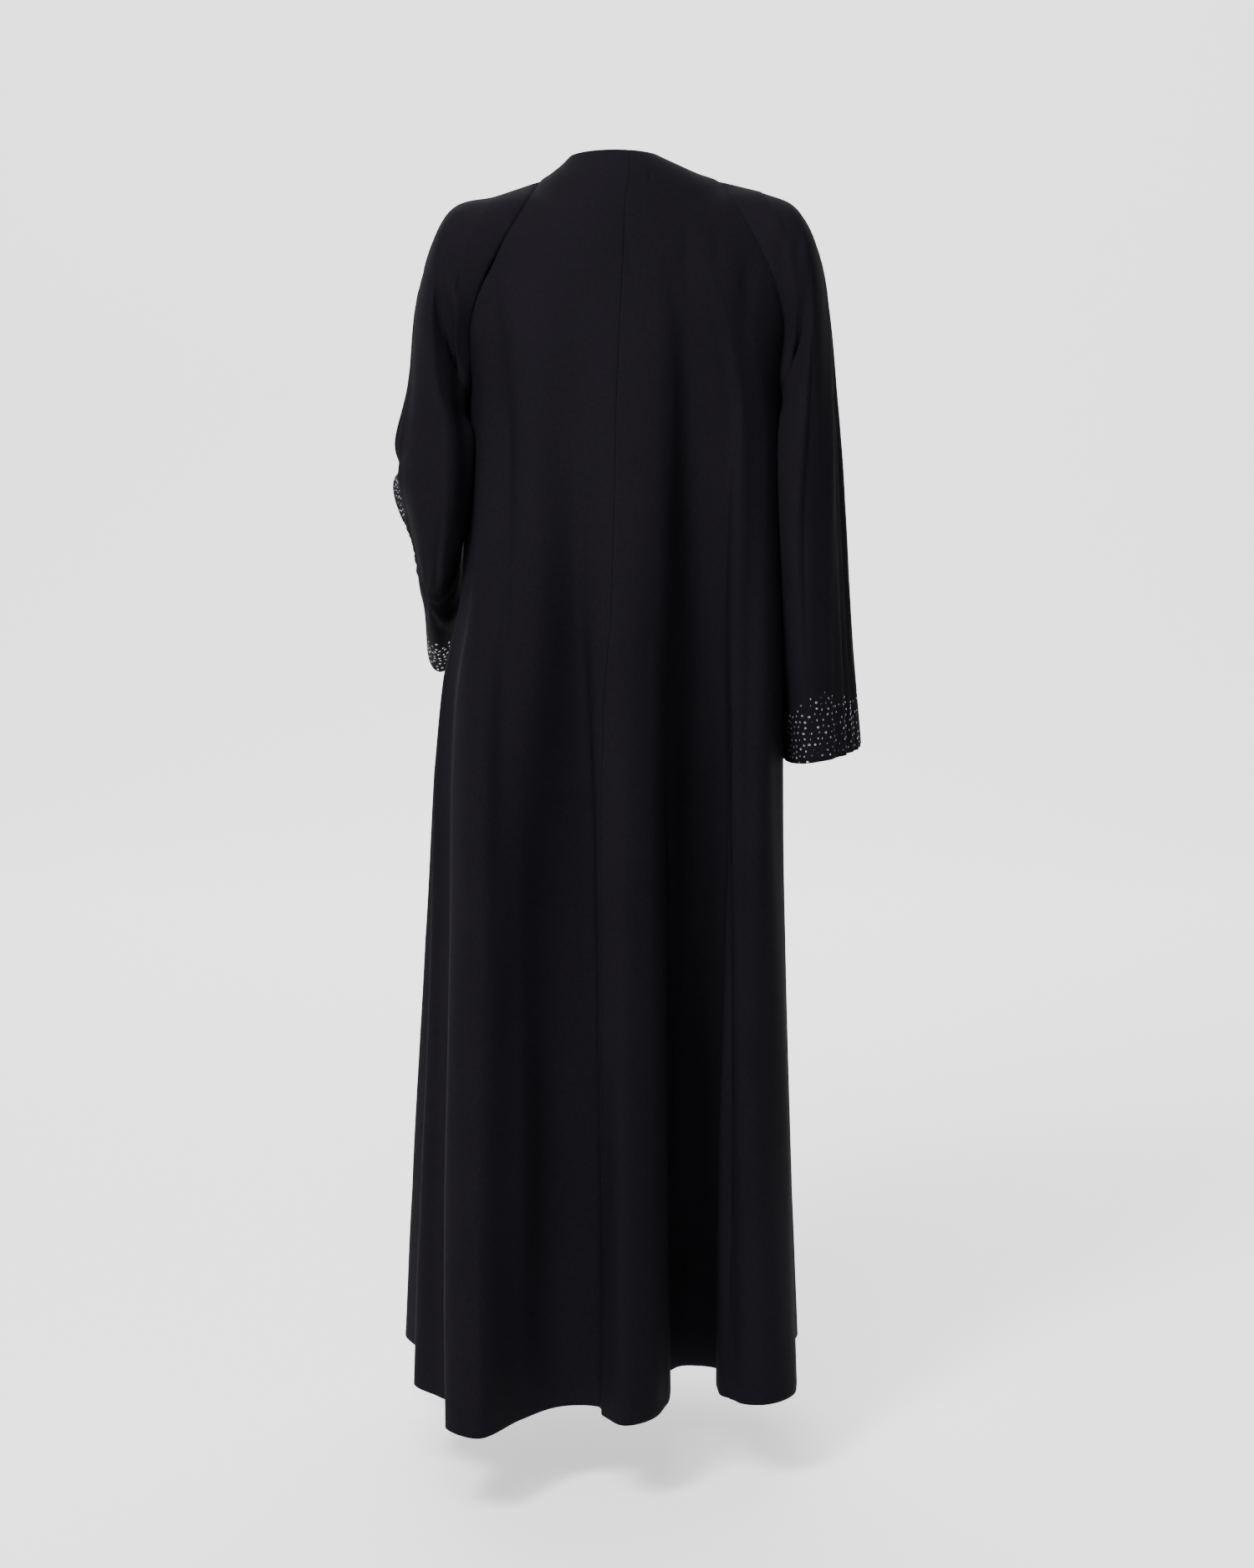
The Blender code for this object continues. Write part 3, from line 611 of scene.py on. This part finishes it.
class Shader:
    # a material's node tree, with one method that makes any node
    def __init__(self, name):
        self.material = bpy.data.materials.new(name)
        self.material.use_nodes = True
        self.tree = self.material.node_tree
        self.surface = self.tree.nodes["Principled BSDF"]

    def node(self, kind, settings=None, inputs=None, output=0):
        made = self.tree.nodes.new(kind)
        for key, value in (settings or {}).items():
            if key == "stops":
                ramp = made.color_ramp
                while len(ramp.elements) < len(value):
                    ramp.elements.new(1.0)
                for element, (at, colour) in zip(ramp.elements, value):
                    element.position = at
                    element.color = colour
            else:
                setattr(made, key, value)
        for key, value in (inputs or {}).items():
            if isinstance(value, Value):
                self.tree.links.new(value.socket, made.inputs[key])
            else:
                made.inputs[key].default_value = value
        return Value(self.tree, made.outputs[output])

    def feed(self, socket, value):
        if isinstance(value, Value):
            self.tree.links.new(value.socket, self.surface.inputs[socket])
        else:
            self.surface.inputs[socket].default_value = value


crepe = {
    "dark": (0.0045, 0.0040, 0.0054, 1),
    "light": (0.0096, 0.0085, 0.0115, 1),
    "roughness": 0.82,
    "specular": 0.02,
    "sheen": 0.0,
    "sheenTint": (0.55, 0.53, 0.62, 1),
    "pebble": 1400.0,  # crepe grains in a metre
    "threads": 2600.0,
}


def crepeMaterial(name, lean):
    # matt black crepe: pebbled grain over fine threads, and a faint cloudiness
    shader = Shader(name)
    uv = shader.node("ShaderNodeUVMap", {"uv_map": "cloth"})
    place = shader.node("ShaderNodeTexCoord", output=3)
    turned = shader.node("ShaderNodeMapping", None, {"Vector": uv, "Rotation": (0, 0, lean)})
    pebble = shader.node("ShaderNodeTexNoise", None, {
        "Vector": turned, "Scale": crepe["pebble"], "Detail": 2.0, "Roughness": 0.6})
    thread = shader.node("ShaderNodeTexWave", {"bands_direction": "DIAGONAL"}, {
        "Vector": turned, "Scale": crepe["threads"] / 6.28, "Distortion": 2.0,
        "Detail": 1.0, "Detail Scale": 1.5}, output=1)
    cloud = shader.node("ShaderNodeTexNoise", None, {"Vector": place, "Scale": 7.0, "Detail": 3.0})
    fleck = shader.node("ShaderNodeTexNoise", None, {
        "Vector": uv, "Scale": 260.0, "Detail": 4.0, "Roughness": 0.7})
    tone = 0.25 * cloud + 0.45 * fleck + 0.30 * pebble
    colour = shader.node("ShaderNodeValToRGB", {
        "stops": [(0.30, crepe["dark"]), (0.72, crepe["light"])]}, {"Fac": tone})
    shader.feed("Base Color", colour)
    shader.feed("Roughness", crepe["roughness"] + 0.12 * (fleck - 0.5) + 0.08 * (pebble - 0.5))
    shader.feed("Sheen Weight", crepe["sheen"])
    shader.feed("Sheen Roughness", 0.45)
    shader.feed("Sheen Tint", crepe["sheenTint"])
    shader.feed("Specular IOR Level", crepe["specular"])
    grain = 0.6 * pebble + 0.4 * thread
    bump = shader.node("ShaderNodeBump", None, {"Height": grain, "Strength": 0.35, "Distance": 0.0004})
    shader.feed("Normal", bump)
    return shader.material


panels = {
    "back_left": ("centreBack", "sideSeamLeft", True),
    "front_left": ("sideSeamLeft", "centreFront", False),
    "front_right": ("centreFront", "sideSeamRight", False),
    "back_right": ("sideSeamRight", "centreBack", True),
}


def makeParts():
    columns = makeColumns()
    grids = {name: panelGrid(columns, *ends) for name, ends in panels.items()}
    parts = {}
    for name, grid in grids.items():
        parts[name] = {"grid": grid, "closed": False, "facing": 1, "group": "body"}
    top = garment["neckRows"]
    foot = top + garment["armholeRows"] + 1
    edges = {
        "sleeve_left": (grids["back_left"][:, -1], grids["front_left"][:, 0]),
        "sleeve_right": (grids["back_right"][:, 0], grids["front_right"][:, -1]),
    }
    for name, (back, front) in edges.items():
        loop = np.concatenate((back[top:foot], front[top + 1:foot - 1][::-1]))
        facing = -1 if name == "sleeve_left" else 1
        parts[name] = {
            "grid": sleeveGrid(name, loop), "closed": True, "facing": facing, "group": name,
        }
    return parts


def lapFronts(parts):
    # carries each front past the centre front, and raises the upper one over the lower
    left, right = parts["front_left"], parts["front_right"]
    across = np.linspace(0, garment["lapHalf"], 6)[1:]
    pastLeft = walkRows(right["grid"], across)
    pastRight = walkRows(left["grid"][:, ::-1], across)[:, ::-1]
    leftNormal = np.repeat(left["normal"][:, -1:], len(across), axis=1)
    rightNormal = np.repeat(right["normal"][:, :1], len(across), axis=1)
    left["grid"] = np.concatenate((left["grid"], pastLeft), axis=1)
    left["normal"] = np.concatenate((left["normal"], leftNormal), axis=1)
    right["grid"] = np.concatenate((pastRight, right["grid"]), axis=1)
    right["normal"] = np.concatenate((rightNormal, right["normal"]), axis=1)
    row = right["grid"]
    run = np.zeros(row.shape[:2])
    run[:, 1:] = np.cumsum(np.linalg.norm(np.diff(row, axis=1), axis=-1), axis=1)
    run -= run[:, len(across)][:, None]
    lift = 1 - smooth((run - garment["lapFlat"]) / (garment["lapRamp"] - garment["lapFlat"]))
    right["grid"] = row + right["normal"] * (lift * garment["lapLift"])[..., None]


parts = makeParts()
shareNormals(parts)
for part in parts.values():
    addCreases(part)
    addUnevenness(part)
restSleeves()
lapFronts(parts)
for name, ends in (("back_left", ("first", "last")), ("back_right", ("first", "last")),
                   ("front_left", ("first",)), ("front_right", ("last",))):
    for end in ends:
        rollSeam(parts[name], end)
for name in ("sleeve_left", "sleeve_right"):
    rollArmhole(parts[name])
print("shaped the six pieces of cloth")

cloth = {}
for count, (name, part) in enumerate(parts.items()):
    mesh = clothMesh(name + "_cloth", part["grid"], part["closed"], part["facing"])
    piece = clothPiece(name + "_cloth", mesh, crepeMaterial("crepe_" + name, 0.2 * count))
    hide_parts(name)
    "crepe_" + name
    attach(piece, "root")
    cloth[name] = piece
print("made the cloth")

crystal = {
    "radius": 0.0013,
    "apart": 0.0060,
    "band": 0.078,  # how far up from the cuff's edge the crystals reach
    "edge": 0.006,  # bare cloth along the edge
    "seed": 5,
}


def crystalMaterial():
    # cut glass over a silver back
    shader = Shader("cut_glass")
    place = shader.node("ShaderNodeTexCoord", output=3)
    spark = shader.node("ShaderNodeTexNoise", None, {"Vector": place, "Scale": 300.0, "Detail": 1.0})
    colour = shader.node("ShaderNodeValToRGB", {
        "stops": [(0.35, (0.34, 0.35, 0.38, 1)), (0.65, (0.74, 0.76, 0.80, 1))]}, {"Fac": spark})
    shader.feed("Base Color", colour)
    shader.feed("Metallic", 0.55)
    shader.feed("Roughness", 0.20 + 0.10 * spark)
    return shader.material


def crystalTree(material):
    # scatters cut stones over a band of cloth, closer together towards its edge
    tree = bpy.data.node_groups.new("crystalScatter", "GeometryNodeTree")
    face = tree.interface
    face.new_socket("Geometry", in_out="INPUT", socket_type="NodeSocketGeometry")
    sizes = {}
    for label, value in (("Radius", crystal["radius"]), ("Apart", crystal["apart"])):
        socket = face.new_socket(label, in_out="INPUT", socket_type="NodeSocketFloat")
        socket.default_value = value
        sizes[label] = socket.identifier
    face.new_socket("Geometry", in_out="OUTPUT", socket_type="NodeSocketGeometry")
    nodes, link = tree.nodes, tree.links.new
    start, end = nodes.new("NodeGroupInput"), nodes.new("NodeGroupOutput")
    band = nodes.new("GeometryNodeInputNamedAttribute")
    band.data_type = "FLOAT"
    band.inputs["Name"].default_value = "band"
    scatter = nodes.new("GeometryNodeDistributePointsOnFaces")
    scatter.distribute_method = "POISSON"
    scatter.inputs["Density Max"].default_value = 160000
    scatter.inputs["Seed"].default_value = crystal["seed"]
    stone = nodes.new("GeometryNodeMeshCone")
    stone.fill_type = "NGON"
    stone.inputs["Vertices"].default_value = 8
    stone.inputs["Side Segments"].default_value = 1
    stone.inputs["Radius Top"].default_value = 0.55
    stone.inputs["Radius Bottom"].default_value = 1.0
    stone.inputs["Depth"].default_value = 0.62
    vary = nodes.new("FunctionNodeRandomValue")
    vary.data_type = "FLOAT"
    vary.inputs[2].default_value = 0.86
    vary.inputs[3].default_value = 1.12
    size = nodes.new("ShaderNodeMath")
    size.operation = "MULTIPLY"
    place = nodes.new("GeometryNodeInstanceOnPoints")
    real = nodes.new("GeometryNodeRealizeInstances")
    paint = nodes.new("GeometryNodeSetMaterial")
    paint.inputs["Material"].default_value = material
    link(start.outputs["Geometry"], scatter.inputs["Mesh"])
    link(start.outputs["Apart"], scatter.inputs["Distance Min"])
    link(band.outputs["Attribute"], scatter.inputs["Density Factor"])
    link(vary.outputs[1], size.inputs[0])
    link(start.outputs["Radius"], size.inputs[1])
    link(scatter.outputs["Points"], place.inputs["Points"])
    link(scatter.outputs["Rotation"], place.inputs["Rotation"])
    link(stone.outputs["Mesh"], place.inputs["Instance"])
    link(size.outputs[0], place.inputs["Scale"])
    link(place.outputs["Instances"], real.inputs["Geometry"])
    link(real.outputs["Geometry"], paint.inputs["Geometry"])
    link(paint.outputs["Geometry"], end.inputs["Geometry"])
    return tree


def cuffBand(name):
    # the outer face of a cuff, with how thickly the crystals lie there
    part = parts[name]
    grid = part["grid"] + part["normal"] * garment["clothThickness"] / 2
    down = metresAlong(grid, False)[1]
    fromEdge = (down[-1] - down)
    first = int(np.argmax(fromEdge.min(axis=1) < crystal["band"] + 0.02))
    grid, fromEdge = grid[first:], fromEdge[first:]
    mesh = clothMesh("band", grid, True, part["facing"])
    angle = np.linspace(0, 2 * math.pi, grid.shape[1], endpoint=False)[None, :]
    reach = crystal["band"] * (1 + 0.10 * np.sin(5 * angle + 1) + 0.07 * np.sin(13 * angle))
    thick = smooth((reach - fromEdge) / (0.30 * crystal["band"]))
    thick = thick * (fromEdge > crystal["edge"])
    layer = mesh.attributes.new("band", "FLOAT", "POINT")
    layer.data.foreach_set("value", thick.reshape(-1).astype(np.float32))
    return mesh


glass = crystalMaterial()
scatterTree = crystalTree(glass)
for name in ("sleeve_left", "sleeve_right"):
    holder = bpy.data.objects.new("band", cuffBand(name))
    bpy.context.scene.collection.objects.link(holder)
    holder.modifiers.new("crystals", "NODES").node_group = scatterTree
    done = holder.evaluated_get(bpy.context.evaluated_depsgraph_get())
    mesh = bpy.data.meshes.new_from_object(done)
    bpy.data.objects.remove(holder)
    mesh.name = name.replace("sleeve", "crystals")
    crystals = bpy.data.objects.new(mesh.name, mesh)
    bpy.context.scene.collection.objects.link(crystals)
    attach(crystals, "root")
    print(mesh.name, "has", len(mesh.polygons), "faces")
print("set the crystals")

studio = {
    "floorZ": -1.470,
    "paper": (0.90, 0.90, 0.90, 1),
    "dimPaper": (0.05, 0.05, 0.05, 1),  # the glow of the floor before the garment
    "glow": 1.05,
    "cameraHeight": 1.350,  # above the floor
    "cameraAway": 3.650,
    "pitch": 8.85,  # degrees below level
    "lens": 73.84,
    "sideways": 0.0043,
}


def backdrop():
    # a pale floor that curves up into a wall behind the garment
    mesh = bpy.data.meshes.new("backdrop")
    shape = bmesh.new()
    profile = [(9.0, 0.0)]
    radius, wall = 1.6, -5.0
    for step in range(17):
        angle = math.pi / 2 * step / 16
        profile.append((wall + radius - radius * math.sin(angle), radius - radius * math.cos(angle)))
    profile.append((wall, 7.0))
    rows = [[shape.verts.new((x, y, studio["floorZ"] + z)) for x in (-9, 9)] for y, z in profile]
    for a, b in zip(rows, rows[1:]):
        shape.faces.new((a[0], a[1], b[1], b[0]))
    bmesh.ops.recalc_face_normals(shape, faces=shape.faces)
    shape.to_mesh(mesh)
    shape.free()
    mesh.shade_smooth()
    sheet = bpy.data.objects.new("backdrop", mesh)
    bpy.context.scene.collection.objects.link(sheet)
    paper = Shader("paper")
    paper.feed("Base Color", studio["paper"])
    paper.feed("Roughness", 0.9)
    place = paper.node("ShaderNodeTexCoord", output=3)
    forward = paper.node("ShaderNodeSeparateXYZ", None, {"Vector": place}, output=1)
    glowing = paper.node("ShaderNodeValToRGB", {
        "stops": [(0.0, studio["paper"]), (1.0, studio["dimPaper"])]}, {"Fac": forward - 0.5})
    paper.feed("Emission Color", glowing)
    paper.feed("Emission Strength", studio["glow"])
    mesh.materials.append(paper.material)


def softLight(name, place, aim, size, power, colour=(1, 1, 1)):
    lamp = bpy.data.lights.new(name, "AREA")
    lamp.shape = "RECTANGLE"
    lamp.size, lamp.size_y = size
    lamp.energy = power
    lamp.color = colour
    light = bpy.data.objects.new(name, lamp)
    light.location = place
    light.rotation_euler = (Vector(aim) - Vector(place)).to_track_quat("-Z", "Y").to_euler()
    bpy.context.scene.collection.objects.link(light)


def makeCamera():
    lens = bpy.data.cameras.new("camera")
    lens.lens = studio["lens"]
    lens.sensor_width = 36
    lens.shift_x = studio["sideways"]
    camera = bpy.data.objects.new("camera", lens)
    camera.location = (0, studio["cameraAway"], studio["floorZ"] + studio["cameraHeight"])
    camera.rotation_euler = (math.radians(90 - studio["pitch"]), 0, math.pi)
    bpy.context.scene.collection.objects.link(camera)
    bpy.context.scene.camera = camera


backdrop()
softLight("key", (1.30, 2.10, 1.75), (0, 0, -0.20), (0.8, 1.1), 138)
softLight("fill", (-2.6, 3.4, 0.2), (0, 0, -0.7), (1.6, 2.6), 10)
softLight("top", (0.5, 2.0, 1.9), (0, 0, -0.20), (1.4, 1.0), 62)
softLight("front", (0.6, -3.4, 1.8), (0, 0, -0.6), (3.0, 2.4), 60)
softLight("wall", (0, -2.6, 4.2), (0, -5.0, -0.4), (6.0, 1.6), 260)
world = bpy.data.worlds.new("world")
bpy.context.scene.world = world
world.use_nodes = True
world.node_tree.nodes["Background"].inputs["Color"].default_value = (0.95, 0.96, 1.0, 1)
world.node_tree.nodes["Background"].inputs["Strength"].default_value = 0.08
makeCamera()
print("lit the studio")
